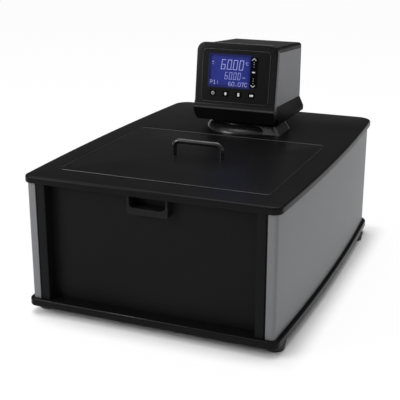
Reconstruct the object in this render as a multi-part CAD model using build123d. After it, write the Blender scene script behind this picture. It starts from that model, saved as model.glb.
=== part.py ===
from build123d import *
from math import atan, cos, degrees, radians, sin, tan
import os

# Heating circulator: a bath with a stainless tank, a resting lid and a swivelling
# controller head whose motor drives a pump that hangs in the liquid.
# Millimetres. X runs to the right, Y to the back, Z up. The origin is on the floor,
# under the middle of the cabinet.

# Cabinet, measured to the outside of its walls
cabinet_length = 523.2
cabinet_half_front = 180.1
cabinet_half_rear = 176.6
side_bow = 7.7
cabinet_corner_front = 5.0
cabinet_corner_rear = 20.0
sheet = 1.5
front_lap_x = 167.4
rear_lap_x = 150.0
rear_recess = 12.0

# Base tray and feet
foot_height = 12.4
foot_radius = 15.0
foot_taper = 2.0
foot_round = 1.6
foot_x = 172.5
foot_front_y = -234.6
foot_rear_y = 210.0
base_height = 11.6
base_overhang = 5.6
base_skin = 3.5
base_skirt = 6.5
base_corner_front = 12.0
base_corner_rear = 24.0
base_round = 2.4
foot_boss_wall = 2.0
foot_stud_radius = 4.0
foot_stud_height = 6.0

# Deck, the moulding that covers the cabinet
cabinet_height = 171.0
deck_thick = 10.5
deck_overhang = 4.4
deck_skin = 3.5
deck_skirt = 8.0
deck_corner_front = 13.0
deck_corner_rear = 26.0
deck_round = 3.2
deck_tuck = 1.8

# Front posts, recessed panel and finger pull
post_inner_x = 152.8
post_width = 12.5
post_wall = 2.0
post_round = 1.2
panel_recess = 16.2
post_lip = 6.0
pull_half = 29.7
pull_proud = 12.6
pull_depth = 9.0
pull_bottom_rail = 9.4
pull_height = 27.0
pull_side_rail = 3.6
pull_top_wall = 1.8
pull_wall = 1.8
pull_outer_round = 3.0
pull_inner_round = 6.0
pull_edge_round = 0.8
panel_slit = 0.3

# Tank, insulation and gasket
tank_half_width = 148.0
tank_half_length = 214.0
tank_depth = 150.0
tank_wall = 1.2
tank_corner = 28.0
tank_bottom_round = 16.0
flange_width = 13.0
gasket_thick = 1.5
foam_thick = 17.0
foam_slit = 0.4

# Lid and its rod handle
lid_half_width = 155.4
lid_front_y = -220.0
lid_length = 268.2
lid_thick = 3.0
lid_corner = 9.0
lid_gap = 0.8
lid_ledge = 8.0
lid_edge_round = 0.8
lid_rib_height = 5.0
lid_rib_thick = 2.5
lid_rib_gap = 1.5
handle_half = 37.4
handle_rise = 20.9
handle_rod_radius = 3.75
handle_bend = 8.5
handle_screw_radius = 1.6
handle_screw_depth = 9.0
screw_slit = 0.05
lid_hole_slit = 0.2
handle_bore_spare = 1.0
screw_head_radius = 4.0
screw_head_height = 2.2
screw_head_round = 0.8

# Drain at the back
drain_x = -118.0
drain_z = 62.0
drain_radius = 8.0
drain_bore = 5.5
drain_reach = 20.0
drain_collar_radius = 13.0
drain_collar_thick = 3.0
cap_radius = 12.0
cap_length = 18.0
cap_wall = 3.0
cap_round = 1.5
cap_slit = 0.05
cap_grips = 16
cap_grip_radius = 1.1

# Hose pipes from the pump to the back wall
hose_radius = 4.75
hose_bore = 2.7
hose_reach = 23.0
hose_x = 42.0
hose_z = 165.0
hose_bend = 14.0
hose_drop = 24.0
tail_radius = 5.2
tail_length = 14.0
nut_across_flats = 19.0
nut_thick = 5.0

# Swivel base, pump plate and neck
axis_y = 124.0
dish_radius = 64.6
dish_rim = 2.0
dish_belly_radius = 60.4
dish_belly_rise = 7.6
dish_shoulder_radius = 52.6
dish_shoulder_rise = 11.2
dish_top_radius = 46.0
dish_rise = 12.7
dish_step = 0.8
loom_box_right = 72.5
loom_box_left = 18.0
loom_box_front = 77.0
loom_box_back = 141.0
loom_box_rise = 12.0
loom_box_lean = 9.0
loom_box_front_lean = 6.0
loom_box_corner = 8.0
plate_radius = 50.0
plate_thick = 3.0
plate_slit = 0.3
pump_hole_radius = 42.0
pump_boss_wall = 12.0
neck_radius = 27.5
neck_wall = 2.0
neck_height = 27.0
neck_fit = 0.05
hub_wall = 4.5
hub_rise = 8.0
swivel_gap = 0.3
ring_width = 5.5
ring_thick = 2.0

# Motor, shaft and pump
motor_radius = 24.0
motor_length = 78.0
motor_end = 9.0
motor_end_radius = 17.0
motor_foot_height = 3.5
motor_fins = 24
motor_fin_depth = 1.2
motor_groove_width = 1.6
motor_bore_spare = 1.0
shaft_radius = 3.0
shaft_fit = 0.05
shaft_seat = 20.0
shaft_clear = 3.0
column_radius = 9.5
column_wall = 2.5
column_window_width = 9.5
column_window_round = 4.2
column_window_height = 48.0
column_window_rise = 24.0
pump_radius = 25.0
pump_wall = 2.5
pump_height = 24.0
pump_floor_gap = 13.0
pump_inlet_radius = 9.0
pump_round = 2.0
impeller_radius = 19.0
impeller_height = 9.0
impeller_disc = 2.0
impeller_hub_radius = 6.5
impeller_blades = 6
impeller_blade_thick = 1.8
impeller_gap = 2.5

# Heater, probe and level switch
heater_radius = 3.2
heater_ring = 34.0
heater_low = 52.0
heater_sides = 8
heater_bend = 9.0
heater_leg_angle = 36.0
probe_radius = 2.4
probe_x = 17.0
probe_dy = -11.0
probe_length = 120.0
probe_tip_round = 2.1
stem_radius = 3.0
stem_x = -28.0
stem_dy = -15.0
stem_length = 66.0
stem_clip_radius = 5.5
stem_clip_thick = 2.0
stem_end = 1.0
float_radius = 11.0
float_height = 22.0
float_slit = 0.4
float_rest_gap = 0.3
float_round = 2.5

# Controller head: the front face leans back about a line at face_y, face_z
face_tilt = 7.5
face_y = 62.4
face_z = 248.4
face_half = 67.8
face_height = 101.0
bezel_depth = 10.0
bezel_front = 3.5
bezel_wall = 3.0
bezel_corner = 14.0
bezel_edge_round = 1.8
lip_high = 6.8
lip_sag_w = 1.2
lip_sag_out = 0.8
lip_edge = -2.4
lip_proud = 3.4
lip_nose = 2.4
chin_front_y = 67.0
chin_front_z = 225.0
chin_back_y = 88.0
chin_corner = 16.0
head_bottom = 220.0
seam_w = 4.6
head_rear_y = 227.0
rear_half = 61.0
rear_top_z = 334.0
rear_seam_z = 242.5
housing_inset = 1.6
housing_drop = 3.0
housing_wall = 2.5
housing_top_round = 5.5
housing_rear_round = 4.5
side_top_margin = 8.5
side_rear_margin = 7.5
skirt_front_half = 66.6
skirt_rear_half = 69.0
skirt_rear_y = 229.5
skirt_lip = 7.0
skirt_corner = 9.0
floor_thick = 2.5

# Face panel, display, touch strip and keys, placed on the leaning face
panel_half = 56.8
panel_low = 7.4
panel_high = 91.0
panel_corner = 6.0
panel_proud = 0.8
panel_edge_round = 0.6
panel_groove = 0.4
panel_flange = 2.0
panel_flange_thick = 1.5
window_u = -10.8
window_w = 57.2
window_width = 67.5
window_height = 49.5
window_thick = 1.5
window_set_back = 0.1
window_gap = 0.6
lcd_margin = 4.0
lcd_thick = 6.0
lcd_corner = 1.5
strip_u = 30.8
strip_w = 57.3
strip_width = 12.5
strip_height = 47.5
strip_thick = 1.2
strip_proud = 0.15
strip_corner = 1.0
key_w = 21.3
key_first_u = -36.5
key_pitch = 21.75
key_width = 10.0
key_height = 8.8
key_round = 1.8
key_edge_round = 0.5
key_slit = 0.3
key_proud = 0.6
key_flange = 1.3
key_flange_thick = 1.0
key_flange_gap = 0.2
key_travel = 0.8
key_names = ["key_power", "key_stop", "key_menu", "key_enter"]
keypad_half = 46.0
keypad_height = 15.0
keypad_w = 20.0
keypad_gap = 0.2
keypad_corner = 1.0
keypad_boss_radius = 2.4
board_thick = 1.6
board_half = 56.0
board_low = 9.0
board_high = 90.0
board_gap = 1.4
board_corner = 2.0
board_boss_radius = 3.0
board_boss_inset = 4.0
board_screw_radius = 2.5
board_screw_height = 1.6

# Components on the control board: place u and w, width, height and thickness
processor = (-30.0, 60.0, 18.0, 18.0, 2.5)
driver_chip = (10.0, 66.0, 14.0, 10.0, 2.0)
relay = (30.0, 40.0, 12.0, 24.0, 6.0)
plug_row = (-8.0, 30.0, 20.0, 9.0, 4.0)

# Power board and what stands on it
power_half = 44.0
power_front_y = 162.0
power_back_y = 208.0
power_leg = 5.0
power_leg_radius = 3.0
power_leg_inset = 5.0
terminal_half = 3.0
terminal_inset = 7.0
terminal_height = 10.0
core_size = (34.0, 20.0, 26.0)
bobbin_size = (17.0, 30.0, 18.0)
bobbin_round = 3.0
transformer_x = -22.0
sink_width = 36.0
sink_depth = 28.0
sink_height = 24.0
sink_base = 4.0
sink_fins = 7
sink_fin_thick = 1.6
sink_x = 22.0

# Back wall of the head
back_row_z = 262.0
inlet_x = -26.0
inlet_cut = (27.0, 20.0)
inlet_flange = (32.0, 25.0)
inlet_flange_thick = 2.0
inlet_flange_corner = 2.5
inlet_socket_corner = 4.0
inlet_wall = 2.0
inlet_depth = 20.0
inlet_floor = 3.0
pin_size = (2.0, 4.0)
pin_length = 13.0
pin_spread = 7.0
pin_drop = -1.5
pin_rise = 3.0
switch_x = 3.0
switch_cut = (13.0, 19.4)
switch_flange = (15.4, 21.6)
switch_depth = 14.0
switch_wall = 1.2
switch_floor = 2.0
switch_flange_thick = 1.5
rocker_angle = 10.0
rocker_pivot_radius = 1.5
rocker_depth = 6.0
rocker_slit = 0.25
rocker_proud = 2.6
rocker_fall = 1.4
rocker_waist = 0.45
rocker_pivot_depth = 3.5
serial_x = 33.0
serial_size = (17.0, 8.4)
serial_flange = (30.8, 12.5)
serial_depth = 10.0
serial_proud = 6.0
serial_flange_thick = 1.2
serial_post_radius = 2.4
serial_post_x = 12.5
serial_post_proud = 5.0
jack_x = 33.0
jack_rise = 22.0
jack_radius = 7.5
jack_flange_radius = 9.5
jack_depth = 12.0
jack_proud = 2.5
jack_bore = 6.0
jack_bore_depth = 4.0
vent_count = 9
vent_pitch = 6.4
vent_width = 2.6
vent_height = 18.0
vent_z = 304.0
cover_screw_radius = 3.2
cover_screw_thick = 1.8
cover_screw_round = 0.9
cover_screw_x = 46.0
cover_screw_z = (248.0, 321.0)
cover_screw_shank = 1.5
cover_screw_length = 8.0

# Levels that follow from the sizes above
base_bottom = foot_height
base_top = base_bottom + base_height
deck_bottom = base_top + cabinet_height
deck_top = deck_bottom + deck_thick
skin_bottom = deck_top - deck_skin
cabinet_front = -cabinet_length / 2
cabinet_rear = cabinet_length / 2
panel_front = cabinet_front + panel_recess
rear_face = cabinet_rear - rear_recess
flange_top = deck_bottom - gasket_thick
flange_bottom = flange_top - tank_wall
tank_floor = flange_top - tank_depth
lid_y = lid_front_y + lid_length / 2
ledge_top = deck_top - lid_thick
plate_top = deck_top + plate_thick
dish_top = deck_top + dish_rise
pump_bottom = tank_floor + pump_floor_gap
pump_top = pump_bottom + pump_height
motor_bottom = plate_top
hub_bottom = dish_top + swivel_gap
hub_top = hub_bottom + hub_rise

lean_sin = sin(radians(face_tilt))
lean_cos = cos(radians(face_tilt))
face_plane = Plane(origin=(0, face_y, face_z), x_dir=(1, 0, 0), z_dir=(0, -lean_cos, lean_sin))


def block(x0, x1, y0, y1, z0, z1):
    """Box between two corners."""
    return Pos((x0 + x1) / 2, (y0 + y1) / 2, (z0 + z1) / 2) * Box(x1 - x0, y1 - y0, z1 - z0)


def rod(x, y, z0, z1, radius):
    """Upright cylinder."""
    return Pos(x, y, (z0 + z1) / 2) * Cylinder(radius, z1 - z0)


def pipe(x, y, z0, z1, radius, bore):
    """Upright tube."""
    return rod(x, y, z0, z1, radius) - rod(x, y, z0, z1, bore)


def rod_y(x, z, y0, y1, radius):
    """Cylinder that lies along Y."""
    return Pos(x, (y0 + y1) / 2, z) * Rot(90, 0, 0) * Cylinder(radius, y1 - y0)


def slab(face, z0, z1):
    """Flat outline raised between two levels."""
    return extrude(Pos(0, 0, z0) * face, amount=z1 - z0)


def plan(grow, corner_front, corner_rear):
    """Outline of the body from above, grown outwards from the cabinet's walls."""
    front = cabinet_front - grow
    rear = cabinet_rear + grow
    half_front = cabinet_half_front + grow
    half_rear = cabinet_half_rear + grow
    half_middle = (half_front + half_rear) / 2 + side_bow
    edges = [
        Line((-half_front, front), (half_front, front)),
        ThreePointArc((half_front, front), (half_middle, 0), (half_rear, rear)),
        Line((half_rear, rear), (-half_rear, rear)),
        ThreePointArc((-half_rear, rear), (-half_middle, 0), (-half_front, front)),
    ]
    face = make_face(Curve() + edges)
    face = fillet(face.vertices().group_by(Axis.Y)[0], corner_front)
    return fillet(face.vertices().group_by(Axis.Y)[-1], corner_rear)


def face_block(u, w, width, height, out, back, corner=0.0):
    """Plate on the leaning face, from depth out to depth back, both outwards positive."""
    shape = RectangleRounded(width, height, corner) if corner else Rectangle(width, height)
    return extrude(face_plane.offset(back) * Pos(u, w) * shape, amount=out - back)


def face_rod(u, w, radius, out, back):
    """Round boss on the leaning face."""
    return extrude(face_plane.offset(back) * Pos(u, w) * Circle(radius), amount=out - back)


def face_point(w, d):
    """Y and Z of a point at height w and depth d on the leaning face."""
    return face_y + w * lean_sin - d * lean_cos, face_z + w * lean_cos + d * lean_sin


# Base and cabinet

def make_base_tray():
    tray = slab(plan(base_overhang, base_corner_front, base_corner_rear), base_bottom, base_top)
    tray = fillet(tray.edges().group_by(Axis.Z)[-1], base_round)
    tray = fillet(tray.edges().group_by(Axis.Z)[0], base_round)
    inner_corners = (base_corner_front - base_skirt, base_corner_rear - base_skirt)
    hollow = slab(plan(base_overhang - base_skirt, *inner_corners), base_bottom, base_top - base_skin)
    for x, y in foot_places():
        hollow -= rod(x, y, base_bottom, base_top, foot_radius + foot_boss_wall)
    tray -= hollow
    for x, y in foot_places():
        tray -= rod(x, y, base_bottom, base_bottom + foot_stud_height, foot_stud_radius)
    return tray


def foot_places():
    return [(side * foot_x, y) for side in (-1, 1) for y in (foot_front_y, foot_rear_y)]


def make_feet():
    feet = []
    taper = -degrees(atan(foot_taper / foot_height))
    for x, y in foot_places():
        foot = Pos(x, y, 0) * extrude(Circle(foot_radius - foot_taper), amount=foot_height, taper=taper)
        foot = fillet(foot.edges().group_by(Axis.Z)[0], foot_round)
        feet.append(foot + rod(x, y, foot_height, foot_height + foot_stud_height, foot_stud_radius))
    return Compound(children=feet)


def make_side_panel():
    """Right-hand side sheet: bowed wall, rounded corners and folded laps front and back."""
    outer = plan(0, cabinet_corner_front, cabinet_corner_rear)
    inner = plan(-sheet, cabinet_corner_front - sheet, cabinet_corner_rear - sheet)
    wrap = slab(outer - inner, base_top, deck_bottom)
    reach = cabinet_length
    keep = block(front_lap_x, reach, -reach, 0, base_top, deck_bottom)
    keep += block(rear_lap_x, reach, 0, reach, base_top, deck_bottom)
    fold = block(rear_lap_x, rear_lap_x + sheet, rear_face - sheet, cabinet_rear, base_top, deck_bottom)
    return (wrap & keep) + fold


def make_front_post():
    """Right-hand post: a folded channel with a tab behind the side sheet's lap."""
    front = cabinet_front
    outer_x = post_inner_x + post_width
    back = panel_front + sheet + post_wall
    web = block(post_inner_x, outer_x, front, front + post_wall, base_top, deck_bottom)
    web = fillet(web.edges().filter_by(Axis.Z).group_by(Axis.Y)[0], post_round)
    inner = block(post_inner_x, post_inner_x + post_wall, front + post_round, back, base_top, deck_bottom)
    tab_front = front + sheet
    tab_back = tab_front + post_wall
    outer = block(outer_x - post_wall, outer_x, front + post_round, tab_back, base_top, deck_bottom)
    tab_end = front_lap_x + post_lip
    tab = block(outer_x - post_wall, tab_end, tab_front, tab_back, base_top, deck_bottom)
    lip_x = post_inner_x - post_lip
    lip = block(lip_x, post_inner_x + post_wall, back - post_wall, back, base_top, deck_bottom)
    return web + inner + outer + tab + lip


def pull_low():
    return deck_bottom - pull_height


def make_front_panel():
    panel = block(-post_inner_x, post_inner_x, panel_front, panel_front + sheet, base_top, deck_bottom)
    half = pull_half - pull_side_rail + pull_wall + panel_slit
    low = pull_low() + pull_bottom_rail - pull_wall - panel_slit
    return panel - block(-half, half, panel_front - sheet, panel_front + 2 * sheet, low, deck_bottom + sheet)


def make_front_pull():
    """Finger pull: a raised frame and the cup behind it."""
    low = pull_low()
    frame = block(-pull_half, pull_half, panel_front - pull_proud, panel_front, low, deck_bottom)
    frame = fillet(frame.edges().filter_by(Axis.Y).group_by(Axis.Z)[0], pull_outer_round)
    half = pull_half - pull_side_rail
    cup_low = low + pull_bottom_rail
    cup_back = panel_front + pull_depth
    cup = block(-half - pull_wall, half + pull_wall, panel_front, cup_back, cup_low - pull_wall, deck_bottom)
    cup = fillet(cup.edges().filter_by(Axis.Y).group_by(Axis.Z)[0], pull_inner_round)
    hollow_front = panel_front - pull_proud
    hollow_high = deck_bottom - pull_top_wall
    hollow = block(-half, half, hollow_front - sheet, cup_back - pull_wall, cup_low, hollow_high)
    hollow = fillet(hollow.edges().filter_by(Axis.Y).group_by(Axis.Z)[0], pull_inner_round)
    front_edges = (frame - hollow).edges().group_by(Axis.Y)[0]
    return fillet(front_edges, pull_edge_round) + (cup - hollow)


def make_rear_panel():
    y0 = rear_face - sheet
    panel = block(-rear_lap_x, rear_lap_x, y0, rear_face, base_top, deck_bottom)
    panel -= rod_y(drain_x, drain_z, y0 - sheet, y0 + 2 * sheet, drain_radius)
    for side in (-1, 1):
        panel -= rod_y(side * hose_x, hose_z, y0 - sheet, y0 + 2 * sheet, hose_radius)
    return panel


# Tank and deck

def tank_outline(grow):
    return RectangleRounded(2 * (tank_half_width + grow), 2 * (tank_half_length + grow), tank_corner + grow)


def make_tank():
    """Drawn tank with a flat flange round its mouth."""
    outer = slab(tank_outline(tank_wall), tank_floor - tank_wall, flange_top)
    outer = fillet(outer.edges().group_by(Axis.Z)[0], tank_bottom_round + tank_wall)
    inner = slab(tank_outline(0), tank_floor, flange_top)
    inner = fillet(inner.edges().group_by(Axis.Z)[0], tank_bottom_round)
    tank = outer + slab(tank_outline(flange_width), flange_bottom, flange_top) - inner
    for x, z, radius in rear_wall_holes():
        tank -= rod_y(x, z, tank_half_length - tank_wall, tank_half_length + 2 * tank_wall, radius)
    return tank


def rear_wall_holes():
    """Where the drain and the two hose pipes pass through the back."""
    return [(drain_x, drain_z, drain_radius), (-hose_x, hose_z, hose_radius), (hose_x, hose_z, hose_radius)]


def make_foam():
    """Five boards: one under the tank, one on each side of it."""
    half_width = tank_half_width + tank_wall + foam_slit
    half_length = tank_half_length + tank_wall + foam_slit
    under = tank_floor - tank_wall - foam_slit
    reach = half_width + foam_thick
    boards = [block(-reach, reach, -half_length - foam_thick, half_length + foam_thick, base_top, under)]
    for side in (-1, 1):
        x0, x1 = sorted((side * half_width, side * reach))
        boards.append(block(x0, x1, -half_length, half_length, under, flange_bottom))
        y0, y1 = sorted((side * half_length, side * (half_length + foam_thick)))
        board = block(-reach, reach, y0, y1, under, flange_bottom)
        if side > 0:
            for x, z, radius in rear_wall_holes():
                board -= rod_y(x, z, y0, y1, radius + foam_slit)
        boards.append(board)
    return Compound(children=boards)


def make_gasket():
    return slab(tank_outline(flange_width) - tank_outline(0), flange_top, deck_bottom)


def lid_outline(grow):
    corner = lid_corner + grow
    return Pos(0, lid_y) * RectangleRounded(2 * (lid_half_width + grow), lid_length + 2 * grow, corner)


def opening_outline(grow):
    half = lid_half_width - lid_ledge + grow
    length = lid_length - 2 * lid_ledge + 2 * grow
    return Pos(0, lid_y) * RectangleRounded(2 * half, length, lid_corner + grow)


def make_deck():
    """Top moulding: skin, outer skirt, band over the tank's flange and the lid's ledge."""
    deck = slab(plan(deck_overhang, deck_corner_front, deck_corner_rear), deck_bottom, deck_top)
    deck = fillet(deck.edges().group_by(Axis.Z)[-1], deck_round)
    deck = fillet(deck.edges().group_by(Axis.Z)[0], deck_tuck)
    corners = (deck_corner_front - deck_skirt, deck_corner_rear - deck_skirt)
    ring = plan(deck_overhang - deck_skirt, *corners) - tank_outline(flange_width)
    deck -= slab(ring, deck_bottom, skin_bottom)
    rear_y0 = lid_front_y + lid_length + lid_ledge / 2
    rear_y1 = tank_half_length - lid_ledge / 2
    half = tank_half_width - lid_ledge / 2
    rear = Pos(0, (rear_y0 + rear_y1) / 2) * RectangleRounded(2 * half, rear_y1 - rear_y0, lid_corner)
    rear -= Pos(0, axis_y) * Circle(pump_hole_radius + pump_boss_wall)
    deck -= slab(rear, deck_bottom, skin_bottom)
    deck -= slab(lid_outline(lid_gap), ledge_top, deck_top)
    deck -= slab(opening_outline(0), deck_bottom, deck_top)
    deck -= rod(0, axis_y, deck_bottom, deck_top, pump_hole_radius)
    return deck


def make_lid():
    plate = slab(lid_outline(0), ledge_top, deck_top)
    plate = fillet(plate.edges().group_by(Axis.Z)[-1], lid_edge_round)
    rib = opening_outline(-lid_rib_gap) - opening_outline(-lid_rib_gap - lid_rib_thick)
    lid = plate + slab(rib, ledge_top - lid_rib_height, ledge_top)
    for side in (-1, 1):
        lid -= rod(side * handle_half, lid_y, ledge_top, deck_top, handle_screw_radius + lid_hole_slit)
    return lid


def make_lid_handle():
    """Bent rod that stands on the lid, bored for a screw in each foot."""
    high = deck_top + handle_rise
    points = [(-handle_half, lid_y, deck_top), (-handle_half, lid_y, high)]
    points += [(handle_half, lid_y, high), (handle_half, lid_y, deck_top)]
    path = FilletPolyline(*points, radius=handle_bend)
    handle = sweep(Plane(origin=points[0], z_dir=(0, 0, 1)) * Circle(handle_rod_radius), path=path)
    for side in (-1, 1):
        depth = deck_top + handle_screw_depth + handle_bore_spare
        handle -= rod(side * handle_half, lid_y, deck_top, depth, handle_screw_radius + screw_slit)
    return handle


def make_lid_screws():
    screws = []
    for side in (-1, 1):
        head = rod(side * handle_half, lid_y, ledge_top - screw_head_height, ledge_top, screw_head_radius)
        head = fillet(head.edges().group_by(Axis.Z)[0], screw_head_round)
        shank = rod(side * handle_half, lid_y, ledge_top, deck_top + handle_screw_depth, handle_screw_radius)
        screws.append(head + shank)
    return Compound(children=screws)


# Drain and hose pipes

def make_drain_spout():
    end = rear_face + drain_reach
    spout = rod_y(drain_x, drain_z, tank_half_length, end, drain_radius)
    wall = rear_face
    spout += rod_y(drain_x, drain_z, wall, wall + drain_collar_thick, drain_collar_radius)
    return spout - rod_y(drain_x, drain_z, tank_half_length, end, drain_bore)


def make_drain_cap():
    """Ribbed screw cap over the spout's end."""
    end = rear_face + drain_reach + cap_wall
    cap = rod_y(drain_x, drain_z, end - cap_length, end, cap_radius)
    cap = fillet(cap.edges().group_by(Axis.Y)[-1], cap_round)
    cap -= rod_y(drain_x, drain_z, end - cap_length, end - cap_wall + cap_slit, drain_radius + cap_slit)
    for i in range(cap_grips):
        turn = Pos(drain_x, 0, drain_z) * Rot(0, i * 360 / cap_grips, 0) * Pos(cap_radius, 0, 0)
        cap -= turn * Pos(0, end - cap_length / 2, 0) * Rot(90, 0, 0) * Cylinder(cap_grip_radius, cap_length)
    return cap


def bent_pipe(points):
    """Hose pipe along a route with rounded bends."""
    path = FilletPolyline(*points, radius=hose_bend)
    start = Plane(origin=points[0], z_dir=Vector(*points[1]) - Vector(*points[0]))
    tube = sweep(start * Circle(hose_radius), path=path)
    end_x, end_y, end_z = points[0] if points[0][1] > points[-1][1] else points[-1]
    tail = rod_y(end_x, end_z, end_y - tail_length, end_y, tail_radius)
    return tube + tail - sweep(start * Circle(hose_bore), path=path)


def hose_end():
    return rear_face + hose_reach


def make_outlet_pipe():
    """From the pump's outlet up and out through the back wall."""
    low = pump_bottom + pump_height / 2
    x = hose_x
    start_x = pump_radius - pump_wall
    route = [(start_x, axis_y, low), (x, axis_y, low), (x, axis_y, hose_z), (x, hose_end(), hose_z)]
    return bent_pipe(route)


def make_return_pipe():
    """From the back wall into the tank, turned down towards the liquid."""
    inside = tank_half_length - hose_bend - hose_radius
    route = [(-hose_x, hose_end(), hose_z), (-hose_x, inside, hose_z), (-hose_x, inside, hose_z - hose_drop)]
    return bent_pipe(route)


def make_port_nuts():
    nuts = []
    wall = rear_face
    for side in (-1, 1):
        blank = RegularPolygon(nut_across_flats / 2, 6, major_radius=False)
        place = Plane(origin=(side * hose_x, wall + nut_thick, hose_z), x_dir=(1, 0, 0), z_dir=(0, -1, 0))
        nut = extrude(place * blank, amount=nut_thick)
        nuts.append(nut - rod_y(side * hose_x, hose_z, wall, wall + nut_thick, hose_radius))
    return Compound(children=nuts)


# Swivel base and what hangs from it

def make_swivel_base():
    """Round flared dish with the wiring box beside it, as one moulding."""
    bore = neck_radius + neck_fit
    shoulder = dish_top - dish_step
    rim = (dish_radius, deck_top + dish_rim)
    belly = (dish_belly_radius, deck_top + dish_belly_rise)
    flare_top = (dish_shoulder_radius, deck_top + dish_shoulder_rise)
    ring = dish_top_radius - dish_step
    edges = [
        Polyline((bore, deck_top), (dish_radius, deck_top), rim),
        ThreePointArc(rim, belly, flare_top),
        Polyline(flare_top, (dish_top_radius, shoulder), (ring, shoulder), (ring, dish_top)),
        Polyline((ring, dish_top), (bore, dish_top), (bore, deck_top)),
    ]
    outline = Plane.XZ * make_face(Curve() + edges)
    base = Pos(0, axis_y, 0) * revolve(outline, Axis.Z)
    base += loom_box() - rod(0, axis_y, deck_top, dish_top, bore)
    return base - rod(0, axis_y, deck_top, plate_top + plate_slit, plate_radius + plate_slit)


def loom_box():
    """Flared box that covers the wiring where it enters the deck."""
    low_w = loom_box_right - loom_box_left
    low_l = loom_box_back - loom_box_front
    low = Pos(loom_box_left + low_w / 2, loom_box_front + low_l / 2, deck_top)
    high_w = low_w - loom_box_lean
    high_l = low_l - loom_box_front_lean
    high = Pos(loom_box_left + high_w / 2, loom_box_back - high_l / 2, deck_top + loom_box_rise)
    foot = low * RectangleRounded(low_w, low_l, loom_box_corner)
    top = high * RectangleRounded(high_w, high_l, loom_box_corner)
    return loft([foot, top])


def make_pump_plate():
    plate = rod(0, axis_y, deck_top, plate_top, plate_radius)
    plate -= rod(0, axis_y, deck_top, plate_top, shaft_radius + shaft_clear)
    for x, y in heater_legs():
        plate -= rod(x, y, deck_top, plate_top, heater_radius)
    plate -= rod(probe_x, axis_y + probe_dy, deck_top, plate_top, probe_radius)
    return plate - rod(stem_x, axis_y + stem_dy, deck_top, plate_top, stem_radius)


def make_neck_tube():
    tube = pipe(0, axis_y, plate_top, plate_top + neck_height, neck_radius, neck_radius - neck_wall)
    return tube


def make_neck_ring():
    low = hub_top + swivel_gap
    return pipe(0, axis_y, low, low + ring_thick, neck_radius + ring_width, neck_radius)


def make_motor():
    """Ribbed motor can with a stepped end bell and the bearing boss for the shaft."""
    top = motor_bottom + motor_foot_height + motor_length
    can = rod(0, axis_y, motor_bottom + motor_foot_height, top - motor_end, motor_radius)
    groove = Box(2 * motor_fin_depth, motor_groove_width, motor_length - 3 * motor_end)
    middle = (motor_bottom + top) / 2
    for i in range(motor_fins):
        turn = Pos(0, axis_y, middle) * Rot(0, 0, i * 360 / motor_fins)
        can -= turn * Pos(motor_radius, 0, 0) * groove
    motor = can + rod(0, axis_y, top - motor_end, top, motor_end_radius)
    motor += rod(0, axis_y, motor_bottom, motor_bottom + motor_foot_height, motor_end_radius)
    bore_top = motor_bottom + shaft_seat + motor_bore_spare
    return motor - rod(0, axis_y, motor_bottom, bore_top, shaft_radius + shaft_fit)


def make_pump_shaft():
    return rod(0, axis_y, pump_bottom + impeller_gap, motor_bottom + shaft_seat, shaft_radius)


def make_pump_column():
    """Tube between plate and pump, with windows that let the liquid drain back."""
    column = pipe(0, axis_y, pump_top, deck_top, column_radius, column_radius - column_wall)
    low = pump_top + column_window_rise
    half = column_window_width / 2
    reach = 2 * column_radius
    window = block(-half, half, axis_y - reach, axis_y + reach, low, low + column_window_height)
    return column - fillet(window.edges().filter_by(Axis.Y), column_window_round)


def make_pump_housing():
    """Pump body: round chamber, inlet in its floor, bearing in its roof, outlet at the side."""
    body = rod(0, axis_y, pump_bottom, pump_top, pump_radius)
    body = fillet(body.edges().group_by(Axis.Z)[-1], pump_round)
    body -= rod(0, axis_y, pump_bottom + pump_wall, pump_top - 2 * pump_wall, pump_radius - pump_wall)
    body -= rod(0, axis_y, pump_bottom, pump_bottom + pump_wall, pump_inlet_radius)
    body -= rod(0, axis_y, pump_top - 2 * pump_wall, pump_top, shaft_radius + shaft_fit)
    low = pump_bottom + pump_height / 2
    side = Pos(pump_radius - pump_wall / 2, axis_y, low) * Rot(0, 90, 0)
    return body - side * Cylinder(hose_radius, 3 * pump_wall)


def make_impeller():
    """Open impeller: back disc, hub and straight blades."""
    low = pump_bottom + pump_wall + impeller_gap
    disc = rod(0, axis_y, low + impeller_height - impeller_disc, low + impeller_height, impeller_radius)
    wheel = disc + rod(0, axis_y, low, low + impeller_height, impeller_hub_radius)
    length = impeller_radius - impeller_hub_radius / 2
    for i in range(impeller_blades):
        place = Pos(0, axis_y, 0) * Rot(0, 0, i * 360 / impeller_blades)
        start = impeller_hub_radius / 2
        half = impeller_blade_thick / 2
        wheel += place * block(start, start + length, -half, half, low, low + impeller_height)
    wheel &= rod(0, axis_y, low, low + impeller_height, impeller_radius)
    return wheel - rod(0, axis_y, low, low + impeller_height, shaft_radius)


def heater_turn():
    """Corners of the heater's turn round the pump column, seen from above."""
    step = (360 - 2 * heater_leg_angle) / heater_sides
    angles = [radians(heater_leg_angle - 90 + i * step) for i in range(heater_sides + 1)]
    return [(heater_ring * cos(angle), axis_y + heater_ring * sin(angle)) for angle in angles]


def heater_legs():
    turn = heater_turn()
    return [turn[0], turn[-1]]


def make_heater():
    """Bent rod: down one leg, once round the column and up the other leg."""
    low = tank_floor + heater_low
    (first_x, first_y), (last_x, last_y) = heater_legs()
    points = [(first_x, first_y, plate_top)]
    points += [(x, y, low) for x, y in heater_turn()]
    points.append((last_x, last_y, plate_top))
    path = FilletPolyline(*points, radius=heater_bend)
    start = Plane(origin=points[0], z_dir=(0, 0, -1))
    return sweep(start * Circle(heater_radius), path=path)


def make_probe():
    x, y = probe_x, axis_y + probe_dy
    probe = rod(x, y, plate_top - probe_length, plate_top, probe_radius)
    return fillet(probe.edges().group_by(Axis.Z)[0], probe_tip_round)


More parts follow.
